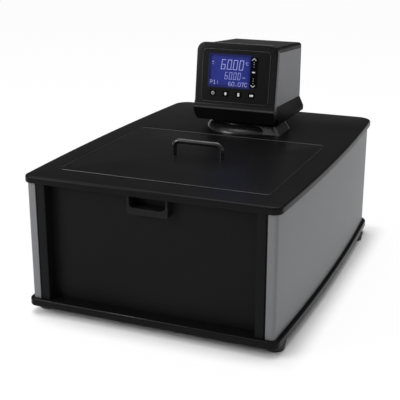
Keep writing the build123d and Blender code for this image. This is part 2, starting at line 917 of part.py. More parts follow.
def make_float_stem():
    """Stem of the level switch with a stop clip at its lower end."""
    x, y = stem_x, axis_y + stem_dy
    low = plate_top - stem_length
    stem = rod(x, y, low, plate_top, stem_radius)
    clip = low + stem_end
    return stem + rod(x, y, clip, clip + stem_clip_thick, stem_clip_radius)


def make_float():
    x, y = stem_x, axis_y + stem_dy
    low = plate_top - stem_length + stem_end + stem_clip_thick + float_rest_gap
    body = rod(x, y, low, low + float_height, float_radius)
    body = fillet(body.edges().group_by(Axis.Z)[-1], float_round)
    body = fillet(body.edges().group_by(Axis.Z)[0], float_round)
    return body - rod(x, y, low, low + float_height, stem_radius + float_slit)


# Controller head

def section(half, low_y, low_z, high_y, high_z, corner):
    """Upright outline across the head with rounded upper corners."""
    points = [(-half, low_y, low_z), (half, low_y, low_z), (half, high_y, high_z), (-half, high_y, high_z)]
    face = make_face(Polyline(*points, close=True))
    return fillet(face.vertices().group_by(Axis.Z)[-1], corner)


def housing_body(inset, drop):
    """Solid of the upper housing, tapering to the back, shrunk by inset."""
    low_y, low_z = face_point(seam_w - drop, -bezel_depth)
    high_y, high_z = face_point(face_height - housing_drop - inset, -bezel_depth)
    corner = housing_top_round - inset
    front = section(face_half - housing_inset - inset, low_y, low_z, high_y, high_z, corner)
    rear_y = head_rear_y - inset
    rear = section(rear_half - inset, rear_y, rear_seam_z - drop, rear_y, rear_top_z - inset, corner)
    return loft([front, rear])


def side_region():
    """What the grey side panels take out of the housing's shell."""
    front_low = face_point(seam_w, -bezel_depth)
    front_high = face_point(face_height - housing_drop - side_top_margin, -bezel_depth)
    rear_y = head_rear_y - side_rear_margin
    points = [front_low, (rear_y, rear_seam_z), (rear_y, rear_top_z - side_top_margin), front_high]
    face = Plane.YZ * make_face(Polyline(*points, close=True))
    region = extrude(face, amount=face_half) - extrude(face, amount=rear_half / 2)
    return region


def housing_shell():
    outer = housing_body(0, 0)
    rear_edges = outer.faces().sort_by(Axis.Y)[-1].edges().sort_by(Axis.Z)[1:]
    outer = fillet(rear_edges, housing_rear_round)
    return outer - housing_body(housing_wall, 2 * housing_wall)


def make_head_side():
    return housing_shell() & side_region()


def rear_cuts():
    """Holes in the back wall for the sockets, the switch and the vents."""
    y0, y1 = head_rear_y - 3 * housing_wall, head_rear_y + housing_wall
    cuts = []
    for x, (width, height) in ((inlet_x, inlet_cut), (switch_x, switch_cut), (serial_x, serial_size)):
        low, high = back_row_z - height / 2, back_row_z + height / 2
        cuts.append(block(x - width / 2, x + width / 2, y0, y1, low, high))
    cuts.append(rod_y(jack_x, back_row_z + jack_rise, y0, y1, jack_radius))
    for i in range(vent_count):
        x = (i - (vent_count - 1) / 2) * vent_pitch
        low, high = vent_z - vent_height / 2, vent_z + vent_height / 2
        cuts.append(block(x - vent_width / 2, x + vent_width / 2, y0, y1, low, high))
    for x, z in cover_screw_places():
        cuts.append(rod_y(x, z, y0, y1, cover_screw_shank))
    return cuts


def make_head_cover():
    """Black shell of the head: top, back and the rims round the side panels."""
    cover = housing_shell()
    region = side_region()
    cover -= region
    cover -= mirror(region, Plane.YZ)
    for cut in rear_cuts():
        cover -= cut
    return cover


def skirt_outline(front_half, front_y, back_half, back_y, corner):
    """Outline of the lower housing from above, rounded at the back."""
    points = [(-front_half, front_y), (front_half, front_y), (back_half, back_y), (-back_half, back_y)]
    face = make_face(Polyline(*points, close=True))
    return fillet(face.vertices().group_by(Axis.Y)[-1], corner)


def skirt_body(inset):
    """Solid of the lower housing: flared outwards to a lip all round."""
    seam_y, seam_z = face_point(seam_w, -bezel_depth)
    lip_top = head_bottom + skirt_lip
    lip = skirt_outline(skirt_front_half - inset, chin_back_y + inset, skirt_rear_half - inset,
                        skirt_rear_y - inset, skirt_corner - inset)
    seam_half = face_half - housing_inset - inset
    top = skirt_outline(seam_half, seam_y + inset, rear_half - inset, head_rear_y - inset,
                        housing_rear_round)
    rise = degrees(atan((rear_seam_z - seam_z) / (head_rear_y - seam_y)))
    top_plane = Plane(origin=(0, seam_y, seam_z + inset / 4), x_dir=(1, 0, 0),
                      z_dir=(0, -sin(radians(rise)), cos(radians(rise))))
    top = top_plane * Pos(0, -seam_y, 0) * top
    body = loft([Pos(0, 0, lip_top) * lip, top], ruled=True)
    return body + slab(lip, head_bottom, lip_top)


def make_lower_housing():
    return skirt_body(0) - skirt_body(housing_wall)


def make_head_floor():
    """Floor of the head with the hub that turns on the neck."""
    reach = skirt_rear_half
    layer = block(-reach, reach, 0, skirt_rear_y, head_bottom, head_bottom + floor_thick)
    floor = skirt_body(housing_wall) & layer
    bore = neck_radius + neck_fit
    floor += rod(0, axis_y, hub_bottom, hub_top, bore + hub_wall)
    return floor - rod(0, axis_y, hub_bottom, hub_top, bore)


def chin_profile():
    """Side view of the bezel's foot: the lip that sweeps forward and the chin that tucks under."""
    high = face_point(lip_high, 0)
    sag = face_point(lip_sag_w, lip_sag_out)
    edge = face_point(lip_edge, lip_proud)
    nose = face_point(lip_edge - lip_nose / 2, lip_proud + lip_nose / 8)
    low = face_point(lip_edge - lip_nose, lip_proud - lip_nose / 4)
    chin = (chin_front_y, chin_front_z)
    under = (chin_back_y, head_bottom)
    back = (chin_back_y, head_bottom + skirt_lip)
    seam = face_point(seam_w, -bezel_depth)
    edges = [
        ThreePointArc(high, sag, edge),
        ThreePointArc(edge, nose, low),
        Polyline(low, chin, under, back, seam, high),
    ]
    return Plane.YZ * make_face(Curve() + edges)


def make_bezel():
    """Front moulding of the head: leaning plate with rounded edges, lip and chin."""
    middle = (seam_w + face_height) / 2
    plate = face_block(0, middle, 2 * face_half, face_height - seam_w, 0, -bezel_depth)
    top_corners = plate.edges().filter_by(face_axis()).group_by(Axis.Z)[-1]
    plate = fillet(top_corners, bezel_corner)
    front_rim = plate.faces().sort_by(face_axis())[-1].edges().sort_by(Axis.Z)[1:]
    plate = fillet(front_rim, bezel_edge_round)
    foot = extrude(chin_profile(), amount=face_half, both=True)
    high = face_point(face_height, 0)[1]
    mould = Rectangle(2 * face_half, high - head_bottom)
    mould = fillet(mould.vertices().group_by(Axis.Y)[0], chin_corner)
    mould = Plane.XZ * Pos(0, (high + head_bottom) / 2) * mould
    foot &= extrude(mould, amount=2 * head_rear_y, both=True)
    body = plate + foot
    hollow_low = seam_w + bezel_wall
    hollow_high = face_height - bezel_wall
    middle = (hollow_low + hollow_high) / 2
    hollow_half = face_half - bezel_wall
    round_in = bezel_corner - bezel_wall
    height = hollow_high - hollow_low
    body -= face_block(0, middle, 2 * hollow_half, height, -bezel_front, -2 * bezel_depth, round_in)
    return body - panel_plate(panel_groove, lip_proud, -2 * bezel_front)


def face_axis():
    """Direction that the leaning face looks in."""
    return Axis((0, face_y, face_z), (0, -lean_cos, lean_sin))


def key_places():
    return [key_first_u + i * key_pitch for i in range(len(key_names))]


def panel_back():
    return -bezel_front - panel_flange_thick


def panel_plate(grow, out, back):
    """Outline of the face panel between two depths, grown by a clearance."""
    middle = (panel_low + panel_high) / 2
    width = 2 * (panel_half + grow)
    height = panel_high - panel_low + 2 * grow
    return face_block(0, middle, width, height, out, back, panel_corner + grow)


def make_face_panel():
    """Raised panel with the window, the strip's pocket, the key holes and the board bosses."""
    panel = panel_plate(0, panel_proud, -bezel_front)
    front_rim = panel.faces().sort_by(face_axis())[-1].edges()
    panel = fillet(front_rim, panel_edge_round)
    middle = (panel_low + panel_high) / 2
    width = 2 * (panel_half + panel_flange)
    height = panel_high - panel_low - 2 * panel_flange
    panel += face_block(0, middle, width, height, -bezel_front, panel_back(), panel_corner)
    panel -= face_block(window_u, window_w, window_width, window_height, lip_proud, panel_back())
    floor = panel_proud + strip_proud - strip_thick
    panel -= face_block(strip_u, strip_w, strip_width, strip_height, lip_proud, floor, strip_corner)
    for u in key_places():
        width, height = key_width + 2 * key_slit, key_height + 2 * key_slit
        panel -= face_block(u, key_w, width, height, lip_proud, panel_back(), key_round + key_slit)
    for gap in (0.5, len(key_names) - 1.5):
        u = key_first_u + gap * key_pitch
        panel += face_rod(u, key_w, keypad_boss_radius, panel_back(), keypad_front())
    for u, w in board_bosses():
        panel += face_rod(u, w, board_boss_radius, panel_back(), board_front())
    return panel


def keypad_front():
    return panel_back() - key_flange_gap - key_flange_thick - key_travel - keypad_gap


def lcd_back():
    return panel_back() - lcd_thick


def board_front():
    return lcd_back() - board_gap


def board_bosses():
    u = board_half - board_boss_inset
    heights = (board_low + board_boss_inset, panel_high - 2 * board_boss_inset)
    return [(side * u, w) for side in (-1, 1) for w in heights]


def window_front():
    return panel_proud - window_set_back


def make_display_window():
    back = window_front() - window_thick
    return face_block(window_u, window_w, window_width, window_height, window_front(), back)


def make_lcd():
    """Display module: a metal can behind the panel and its screen standing in the window."""
    screen_out = window_front() - window_thick - window_gap
    width, height = window_width + 2 * lcd_margin, window_height + 2 * lcd_margin
    lcd = face_block(window_u, window_w, width, height, panel_back(), lcd_back(), lcd_corner)
    return lcd + face_block(window_u, window_w, window_width, window_height, screen_out, panel_back())


def make_touch_strip():
    out = panel_proud + strip_proud
    return face_block(strip_u, strip_w, strip_width, strip_height, out, out - strip_thick, strip_corner)


def make_key(u):
    """Push key: cap through the panel and a flange that keeps it in."""
    back = panel_back() - key_flange_gap
    cap = face_block(u, key_w, key_width, key_height, panel_proud + key_proud, back, key_round)
    cap = fillet(cap.faces().sort_by(face_axis())[-1].edges(), key_edge_round)
    width, height = key_width + 2 * key_flange, key_height + 2 * key_flange
    return cap + face_block(u, key_w, width, height, back, back - key_flange_thick, key_round)


def make_keypad_board():
    front = keypad_front()
    return face_block(0, keypad_w, 2 * keypad_half, keypad_height, front, front - board_thick, keypad_corner)


def make_control_board():
    front = board_front()
    middle = (board_low + board_high) / 2
    back = front - board_thick
    board = face_block(0, middle, 2 * board_half, board_high - board_low, front, back, board_corner)
    for u, w, width, height, thick in (processor, driver_chip, relay, plug_row):
        board += face_block(u, w, width, height, back, back - thick)
    return board


def make_board_screws():
    back = board_front() - board_thick
    screws = [face_rod(u, w, board_screw_radius, back, back - board_screw_height) for u, w in board_bosses()]
    return Compound(children=screws)


def power_board_low():
    return head_bottom + floor_thick + power_leg


def make_power_board():
    """Board on four legs over the floor of the head, with its terminal block."""
    low = power_board_low()
    board = block(-power_half, power_half, power_front_y, power_back_y, low, low + board_thick)
    for side in (-1, 1):
        for y in (power_front_y + power_leg_inset, power_back_y - power_leg_inset):
            board += rod(side * (power_half - power_leg_inset), y, low - power_leg, low, power_leg_radius)
    top = low + board_thick
    front, back = power_front_y + terminal_inset, power_back_y - terminal_inset
    return board + block(-terminal_half, terminal_half, front, back, top, top + terminal_height)


def power_middle():
    return (power_front_y + power_back_y) / 2


def standing(size, x, low):
    """Block of a given size that stands on the power board's middle line."""
    width, depth, height = size
    y = power_middle()
    return block(x - width / 2, x + width / 2, y - depth / 2, y + depth / 2, low, low + height)


def make_transformer():
    """Laminated core with a bobbin standing through it."""
    low = power_board_low() + board_thick
    core = standing(core_size, transformer_x, low)
    bobbin = standing(bobbin_size, transformer_x, low + (core_size[2] - bobbin_size[2]) / 2)
    return core + fillet(bobbin.edges().filter_by(Axis.X), bobbin_round)


def make_heat_sink():
    low = power_board_low() + board_thick
    sink = standing((sink_width, sink_depth, sink_base), sink_x, low)
    pitch = (sink_width - sink_fin_thick) / (sink_fins - 1)
    for i in range(sink_fins):
        x = sink_x - (sink_width - sink_fin_thick) / 2 + i * pitch
        sink += standing((sink_fin_thick, sink_depth, sink_height), x, low)
    return sink


def back_block(x, z, size, y0, y1):
    """Block of a given width and height that lies through the back wall."""
    width, height = size
    return block(x - width / 2, x + width / 2, y0, y1, z - height / 2, z + height / 2)


def make_power_inlet():
    """Three-pin inlet: flange, shroud and pins, with nothing plugged in."""
    y = head_rear_y
    x, z = inlet_x, back_row_z
    out = y + inlet_flange_thick
    flange = back_block(x, z, inlet_flange, y, out)
    body = back_block(x, z, inlet_cut, y - inlet_depth, y)
    body += fillet(flange.edges().filter_by(Axis.Y), inlet_flange_corner)
    floor = y - inlet_depth + inlet_floor
    socket_size = (inlet_cut[0] - 2 * inlet_wall, inlet_cut[1] - 2 * inlet_wall)
    socket = back_block(x, z, socket_size, floor, out)
    body -= chamfer(socket.edges().filter_by(Axis.Y).group_by(Axis.Z)[-1], inlet_socket_corner)
    for dx, dz in ((-pin_spread, pin_drop), (pin_spread, pin_drop), (0, pin_rise)):
        body += back_block(x + dx, z + dz, pin_size, floor, floor + pin_length)
    return body


def make_switch_frame():
    """Frame of the mains switch with the axle that the rocker tilts on."""
    y = head_rear_y
    x, z = switch_x, back_row_z
    out = y + switch_flange_thick
    frame = back_block(x, z, switch_cut, y - switch_depth, y)
    frame += back_block(x, z, switch_flange, y, out)
    inner = (switch_cut[0] - 2 * switch_wall, switch_cut[1] - 2 * switch_wall)
    frame -= back_block(x, z, inner, y - switch_depth + switch_floor, out)
    pivot_y, pivot_z = rocker_pivot()
    return frame + Pos(x, pivot_y, pivot_z) * Rot(0, 90, 0) * Cylinder(rocker_pivot_radius, inner[0])


def rocker_pivot():
    """Y and Z of the rocker's axle."""
    return head_rear_y - rocker_pivot_depth, back_row_z


def make_rocker():
    """Rocker with two sloping faces, one end pressed in."""
    half_w = switch_cut[0] / 2 - switch_wall - rocker_slit
    half_h = switch_cut[1] / 2 - switch_wall - 2 * rocker_slit
    y, z = rocker_pivot()
    front = head_rear_y + rocker_proud
    dip = half_h * tan(radians(rocker_angle))
    waist = half_h * rocker_waist
    points = [
        (y - rocker_depth / 2, -waist),
        (front - rocker_fall - dip, -half_h),
        (front - dip / 2, 0),
        (front - rocker_fall - dip, half_h),
        (y - rocker_depth / 2, waist),
    ]
    face = Plane.YZ * make_face(Polyline(*[(py, z + pz) for py, pz in points], close=True))
    rocker = Pos(switch_x, 0, 0) * extrude(face, amount=half_w, both=True)
    bore = Pos(switch_x, y, z) * Rot(0, 90, 0) * Cylinder(rocker_pivot_radius + shaft_fit, 4 * half_w)
    return Pos(0, y, z) * Rot(rocker_angle, 0, 0) * Pos(0, -y, -z) * (rocker - bore)


def make_serial_socket():
    """Nine-way connector with its two jack posts."""
    y = head_rear_y
    x, z = serial_x, back_row_z
    socket = back_block(x, z, serial_size, y - serial_depth, y + serial_proud)
    socket += back_block(x, z, serial_flange, y, y + serial_flange_thick)
    for side in (-1, 1):
        end = (x + side * serial_post_x, y + serial_post_proud, z)
        post = Plane(origin=end, x_dir=(1, 0, 0), z_dir=(0, -1, 0)) * RegularPolygon(serial_post_radius, 6)
        socket += extrude(post, amount=serial_post_proud - serial_flange_thick)
    return socket


def make_probe_jack():
    """Round panel jack for an outside sensor, open at the back."""
    z = back_row_z + jack_rise
    y = head_rear_y
    jack = rod_y(jack_x, z, y - jack_depth, y, jack_radius)
    jack += rod_y(jack_x, z, y, y + jack_proud, jack_flange_radius)
    return jack - rod_y(jack_x, z, y - jack_bore_depth, y + jack_proud, jack_bore)


def cover_screw_places():
    return [(side * cover_screw_x, z) for side in (-1, 1) for z in cover_screw_z]


def make_cover_screws():
    screws = []
    for x, z in cover_screw_places():
        head = rod_y(x, z, head_rear_y, head_rear_y + cover_screw_thick, cover_screw_radius)
        head = fillet(head.edges().group_by(Axis.Y)[-1], cover_screw_round)
        shank = rod_y(x, z, head_rear_y - cover_screw_length, head_rear_y, cover_screw_shank)
        screws.append(head + shank)
    return Compound(children=screws)


def all_parts():
    side = make_side_panel()
    post = make_front_post()
    head_side = make_head_side()
    parts = {
        "base_tray": make_base_tray(),
        "feet": make_feet(),
        "side_panel_right": side,
        "side_panel_left": mirror(side, Plane.YZ),
        "front_post_right": post,
        "front_post_left": mirror(post, Plane.YZ),
        "front_panel": make_front_panel(),
        "front_pull": make_front_pull(),
        "rear_panel": make_rear_panel(),
        "tank": make_tank(),
        "tank_insulation": make_foam(),
        "deck_gasket": make_gasket(),
        "deck": make_deck(),
        "lid": make_lid(),
        "lid_handle": make_lid_handle(),
        "lid_screws": make_lid_screws(),
        "drain_spout": make_drain_spout(),
        "drain_cap": make_drain_cap(),
        "outlet_pipe": make_outlet_pipe(),
        "return_pipe": make_return_pipe(),
        "port_nuts": make_port_nuts(),
        "swivel_base": make_swivel_base(),
        "pump_plate": make_pump_plate(),
        "neck_tube": make_neck_tube(),
        "neck_ring": make_neck_ring(),
        "pump_motor": make_motor(),
        "pump_shaft": make_pump_shaft(),
        "pump_column": make_pump_column(),
        "pump_housing": make_pump_housing(),
        "impeller": make_impeller(),
        "heater_coil": make_heater(),
        "temperature_probe": make_probe(),
        "float_stem": make_float_stem(),
        "level_float": make_float(),
        "lower_housing": make_lower_housing(),
        "head_floor": make_head_floor(),
        "head_cover": make_head_cover(),
        "head_side_right": head_side,
        "head_side_left": mirror(head_side, Plane.YZ),
        "bezel": make_bezel(),
        "face_panel": make_face_panel(),
        "display_window": make_display_window(),
        "lcd_module": make_lcd(),
        "touch_strip": make_touch_strip(),
        "keypad_board": make_keypad_board(),
        "control_board": make_control_board(),
        "board_screws": make_board_screws(),
        "power_board": make_power_board(),
        "transformer": make_transformer(),
        "heat_sink": make_heat_sink(),
        "power_inlet": make_power_inlet(),
        "switch_frame": make_switch_frame(),
        "power_rocker": make_rocker(),
        "serial_socket": make_serial_socket(),
        "probe_jack": make_probe_jack(),
        "cover_screws": make_cover_screws(),
    }
    for name, u in zip(key_names, key_places()):
        parts[name] = make_key(u)
    return parts


os.makedirs("parts", exist_ok=True)
for name, piece in all_parts().items():
    export_step(piece, f"parts/{name}.step")
    print(name, "solids", len(piece.solids()), "volume", round(piece.volume))
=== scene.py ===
import bpy
import bmesh
import math
from mathutils import Matrix, Vector


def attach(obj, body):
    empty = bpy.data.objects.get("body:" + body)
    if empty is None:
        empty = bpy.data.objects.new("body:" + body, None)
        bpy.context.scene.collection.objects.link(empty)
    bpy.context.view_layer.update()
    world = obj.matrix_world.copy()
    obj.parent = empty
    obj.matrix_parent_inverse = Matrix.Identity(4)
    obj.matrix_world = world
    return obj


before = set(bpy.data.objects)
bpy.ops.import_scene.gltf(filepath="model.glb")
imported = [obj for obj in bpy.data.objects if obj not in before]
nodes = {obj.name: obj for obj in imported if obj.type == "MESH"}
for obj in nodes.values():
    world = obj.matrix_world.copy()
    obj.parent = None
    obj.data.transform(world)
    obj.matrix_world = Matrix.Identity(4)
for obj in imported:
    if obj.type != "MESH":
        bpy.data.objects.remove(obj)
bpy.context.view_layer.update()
print("loaded", len(nodes), "parts of the circulator")

mm = 0.001

# the leaning face of the controller head, where all display places are measured from
face = {"tilt": 7.5, "y": 62.4, "z": 248.4}
faceSin = math.sin(math.radians(face["tilt"]))
faceCos = math.cos(math.radians(face["tilt"]))
facePlace = Matrix((
    (1, 0, 0, 0),
    (0, faceSin, -faceCos, face["y"] * mm),
    (0, faceCos, faceSin, face["z"] * mm),
    (0, 0, 0, 1),
))


class Wire:
    # one socket of a material, which can be added, multiplied and compared
    def __init__(self, paint, socket):
        self.paint = paint
        self.socket = socket

    def math(self, operation, first, second):
        return self.paint.node("ShaderNodeMath", {"operation": operation}, {0: first, 1: second})

    def __add__(self, other):
        return self.math("ADD", self, other)

    def __radd__(self, other):
        return self.math("ADD", other, self)

    def __sub__(self, other):
        return self.math("SUBTRACT", self, other)

    def __rsub__(self, other):
        return self.math("SUBTRACT", other, self)

    def __mul__(self, other):
        return self.math("MULTIPLY", self, other)

    def __rmul__(self, other):
        return self.math("MULTIPLY", other, self)

    def __gt__(self, other):
        return self.math("GREATER_THAN", self, other)


class Paint:
    # a material under construction, around its Principled shader
    def __init__(self, name, **fixed):
        self.material = bpy.data.materials.new(name)
        self.material.use_nodes = True
        self.tree = self.material.node_tree
        self.shader = self.tree.nodes["Principled BSDF"]
        for socket, value in fixed.items():
            self.set(socket, value)

    def set(self, socket, value):
        names = {
            "color": "Base Color", "roughness": "Roughness", "metallic": "Metallic", "alpha": "Alpha",
            "specular": "Specular IOR Level", "normal": "Normal", "glow": "Emission Color",
            "glowStrength": "Emission Strength",
        }
        self.feed(self.shader.inputs[names[socket]], value)

    def feed(self, socket, value):
        if isinstance(value, Wire):
            self.tree.links.new(value.socket, socket)
        elif isinstance(value, tuple) and len(value) == 3 and socket.type == "RGBA":
            socket.default_value = (*value, 1)
        else:
            socket.default_value = value

    def node(self, kind, settings=None, inputs=None, output=0):
        made = self.tree.nodes.new(kind)
        for key, value in (settings or {}).items():
            setattr(made, key, value)
        for key, value in (inputs or {}).items():
            self.feed(made.inputs[key], value)
        return Wire(self, made.outputs[output])

    def place(self):
        return self.node("ShaderNodeTexCoord", output="Object")

    def axes(self):
        split = self.node("ShaderNodeSeparateXYZ", None, {0: self.place()}).socket.node
        return [Wire(self, output) for output in split.outputs]

    def stretched(self, scale):
        return self.node("ShaderNodeMapping", None, {"Vector": self.place(), "Scale": scale})

    def noise(self, scale, detail=3, where=None, rough=0.5):
        where = where or self.place()
        inputs = {"Vector": where, "Scale": scale, "Detail": detail, "Roughness": rough}
        return self.node("ShaderNodeTexNoise", None, inputs)

    def mix(self, factor, first, second):
        # blend of two colours
        return self.node("ShaderNodeMix", {"data_type": "RGBA"}, {0: factor, 6: first, 7: second}, 2)

    def mottle(self, factor, colour, waver):
        # base colour that wavers between a darker and a lighter tone
        dark = near(colour, (0, 0, 0), waver["darker"])
        light = near(colour, (1, 1, 1), waver["lighter"])
        self.set("color", self.mix(factor, dark, light))

    def size(self, value):
        # the value without its sign
        return self.node("ShaderNodeMath", {"operation": "ABSOLUTE"}, {0: value})

    def largest(self, first, second):
        return self.node("ShaderNodeMath", {"operation": "MAXIMUM"}, {0: first, 1: second})

    def gapTo(self, values, halves):
        # distance to a rectangle round the origin, zero within it
        beyond = [self.largest(self.size(value) - half, 0.0) for value, half in zip(values, halves)]
        square = beyond[0] * beyond[0] + beyond[1] * beyond[1]
        return self.node("ShaderNodeMath", {"operation": "SQRT"}, {0: square})

    def softStep(self, value, reach, start, end):
        # smooth change from one level at zero to another at the reach
        limits = {"Value": value, "From Min": 0.0, "From Max": reach, "To Min": start, "To Max": end}
        return self.node("ShaderNodeMapRange", {"interpolation_type": "SMOOTHSTEP"}, limits)

    def bump(self, height, strength, distance):
        inputs = {"Height": height, "Strength": strength, "Distance": distance}
        self.set("normal", self.node("ShaderNodeBump", None, inputs))

    def faceCoordinates(self):
        # across, up and outwards on the leaning face, in metres
        x, y, z = self.axes()
        back = y - face["y"] * mm
        rise = z - face["z"] * mm
        return x, back * faceSin + rise * faceCos, rise * faceSin - back * faceCos


def near(first, second, share):
    return tuple(a + (b - a) * share for a, b in zip(first, second))


mouldings = {
    "deckPlastic": {
        "color": (0.003, 0.003, 0.0035), "roughness": 0.31, "spread": 0.07, "grain": 2600, "depth": 0.1,
        "specular": 0.068,
    },
    "basePlastic": {
        "color": (0.0028, 0.0028, 0.0031), "roughness": 0.28, "spread": 0.05, "grain": 2600,
        "depth": 0.06, "specular": 0.07,
    },
    "bezelPlastic": {
        "color": (0.0035, 0.0035, 0.0037), "roughness": 0.26, "spread": 0.06, "grain": 3200,
        "depth": 0.07, "specular": 0.13,
    },
    "panelPlastic": {
        "color": (0.0044, 0.0044, 0.0047), "roughness": 0.38, "spread": 0.05, "grain": 3600,
        "depth": 0.08, "specular": 0.055,
    },
    "keyPlastic": {
        "color": (0.001, 0.001, 0.0011), "roughness": 0.34, "spread": 0.05, "grain": 3600, "depth": 0.05,
        "specular": 0.012,
    },
    "coverPlastic": {
        "color": (0.003, 0.003, 0.0033), "roughness": 0.42, "spread": 0.06, "grain": 3000, "depth": 0.12,
        "specular": 0.035,
    },
    # lighter than the black mouldings it lies on: a painted highlight along their edges
    "highlightBeadPlastic": {
        "color": (0.02, 0.02, 0.021), "roughness": 0.24, "spread": 0.04, "grain": 3000, "depth": 0.03,
        "specular": 0.55,
    },
    "skirtPlastic": {
        "color": (0.0016, 0.0016, 0.0018), "roughness": 0.4, "spread": 0.06, "grain": 3000,
        "depth": 0.12, "specular": 0.008,
    },
    "swivelPlastic": {
        "color": (0.008, 0.008, 0.0084), "roughness": 0.27, "spread": 0.05, "grain": 3000, "depth": 0.04,
        "specular": 0.5,
    },
    "greyPlastic": {
        "color": (0.165, 0.168, 0.178), "roughness": 0.5, "spread": 0.05, "grain": 3400, "depth": 0.08,
        "specular": 0.3,
    },
    "pumpPlastic": {
        "color": (0.035, 0.035, 0.038), "roughness": 0.5, "spread": 0.08, "grain": 2200, "depth": 0.1,
        "specular": 0.45,
    },
    "socketPlastic": {
        "color": (0.009, 0.009, 0.009), "roughness": 0.38, "spread": 0.06, "grain": 2600, "depth": 0.06,
        "specular": 0.07,
    },
    "rubber": {
        "color": (0.016, 0.016, 0.016), "roughness": 0.62, "spread": 0.1, "grain": 1800, "depth": 0.18,
        "specular": 0.35,
    },
}


mouldingWaver = {"tone": 9, "sheen": 23, "darker": 0.10, "lighter": 0.004, "relief": 0.0001}


def mouldSurface(paint, look):
    # fine spark-eroded grain, with slow changes of sheen and tone
    paint.mottle(paint.noise(mouldingWaver["tone"], 3), look["color"], mouldingWaver)
    sheen = paint.noise(mouldingWaver["sheen"], 4) - 0.5
    paint.set("roughness", look["roughness"] + look["spread"] * sheen)
    paint.bump(paint.noise(look["grain"], 2), look["depth"], mouldingWaver["relief"])


def moulded(name):
    # black and grey mouldings
    look = mouldings[name]
    paint = Paint(name, specular=look["specular"])
    mouldSurface(paint, look)
    return paint.material


coats = {
    "powderBlack": {
        "color": (0.0034, 0.0034, 0.0036), "roughness": 0.47, "grain": 1500, "depth": 0.22,
        "specular": 0.08,
    },
    "motorPaint": {
        "color": (0.03, 0.032, 0.036), "roughness": 0.42, "grain": 1200, "depth": 0.16, "specular": 0.5,
    },
    "handlePaint": {
        "color": (0.006, 0.006, 0.006), "roughness": 0.22, "grain": 900, "depth": 0.05, "specular": 0.5,
    },
}


coatWaver = {"tone": 7, "sheen": 31, "spread": 0.08, "darker": 0.12, "lighter": 0.004, "relief": 0.0002,
             "peelScale": 0.35, "peelShare": 0.6}


def coated(name):
    # sprayed and baked coats: orange peel over a finer grit
    look = coats[name]
    paint = Paint(name, specular=look["specular"])
    paint.mottle(paint.noise(coatWaver["tone"], 2), look["color"], coatWaver)
    sheen = paint.noise(coatWaver["sheen"], 3) - 0.5
    paint.set("roughness", look["roughness"] + coatWaver["spread"] * sheen)
    peel = paint.noise(look["grain"] * coatWaver["peelScale"], 2) * coatWaver["peelShare"]
    grit = paint.noise(look["grain"], 2) * (1 - coatWaver["peelShare"])
    paint.bump(peel + grit, look["depth"], coatWaver["relief"])
    return paint.material


metals = {
    "silverSheet": {
        "color": (0.132, 0.135, 0.142), "roughness": 0.48, "stretch": (900, 14, 900), "metallic": 0.4,
    },
    "tankSteel": {
        "color": (0.55, 0.55, 0.545), "roughness": 0.34, "stretch": (40, 40, 1200), "metallic": 1.0,
    },
    "turnedSteel": {
        "color": (0.56, 0.56, 0.555), "roughness": 0.26, "stretch": (900, 900, 60), "metallic": 1.0,
    },
    "castAluminium": {
        "color": (0.52, 0.525, 0.53), "roughness": 0.42, "stretch": (300, 300, 300), "metallic": 1.0,
    },
    "brightScrew": {
        "color": (0.6, 0.6, 0.6), "roughness": 0.22, "stretch": (700, 700, 700), "metallic": 1.0,
    },
}


metalWaver = {"tone": 6, "spread": 0.10, "darker": 0.08, "lighter": 0.05, "depth": 0.08, "relief": 0.00005,
              "streakShare": 0.6}


def metal(name):
    # rolled, turned and cast metal: streaks that run along the stretch
    look = metals[name]
    paint = Paint(name, metallic=look["metallic"])
    streak = paint.noise(1, 4, paint.stretched(look["stretch"]), 0.6)
    cloud = paint.noise(metalWaver["tone"], 2)
    shade = streak * metalWaver["streakShare"] + cloud * (1 - metalWaver["streakShare"])
    paint.mottle(shade, look["color"], metalWaver)
    paint.set("roughness", look["roughness"] + metalWaver["spread"] * (streak - 0.5))
    paint.bump(streak, metalWaver["depth"], metalWaver["relief"])
    return paint.material


def foam():
    paint = Paint("insulationFoam", specular=0.2)
    cells = paint.node("ShaderNodeTexVoronoi", None, {"Vector": paint.place(), "Scale": 700})
    paint.set("color", paint.mix(paint.noise(14, 3), (0.62, 0.56, 0.36), (0.74, 0.69, 0.50)))
    paint.set("roughness", 0.85 + 0.1 * (cells - 0.5))
    paint.bump(cells, 0.5, 0.0006)
    return paint.material


def circuitBoard():
    paint = Paint("circuitBoard", specular=0.5)
    tracks = paint.node("ShaderNodeTexBrick", {"offset": 0.5}, {
        "Vector": paint.place(), "Scale": 260, "Mortar Size": 0.06, "Color1": (0, 0, 0), "Color2": (0, 0, 0),
        "Mortar": (1, 1, 1)})
    paint.set("color", paint.mix(tracks, (0.006, 0.060, 0.022), (0.016, 0.105, 0.042)))
    paint.set("roughness", 0.34 + 0.1 * (paint.noise(60, 2) - 0.5))
    paint.bump(tracks, 0.3, 0.0001)
    return paint.material


# the lit window, placed on the leaning face in millimetres
screen = {"u": -10.8, "w": 57.2, "width": 67.5, "height": 49.5, "front": -1.6, "edge": 5.0,
          "paintedSpill": 3.2, "spillShare": 0.40, "blue": (0.0205, 0.0300, 0.2500),
          "can": (0.02, 0.02, 0.022), "glass": (0.004, 0.005, 0.016)}


def fromScreenMiddle(paint):
    # across, up and outwards from the middle of the lit window
    across, up, out = paint.faceCoordinates()
    return across - screen["u"] * mm, up - screen["w"] * mm, out


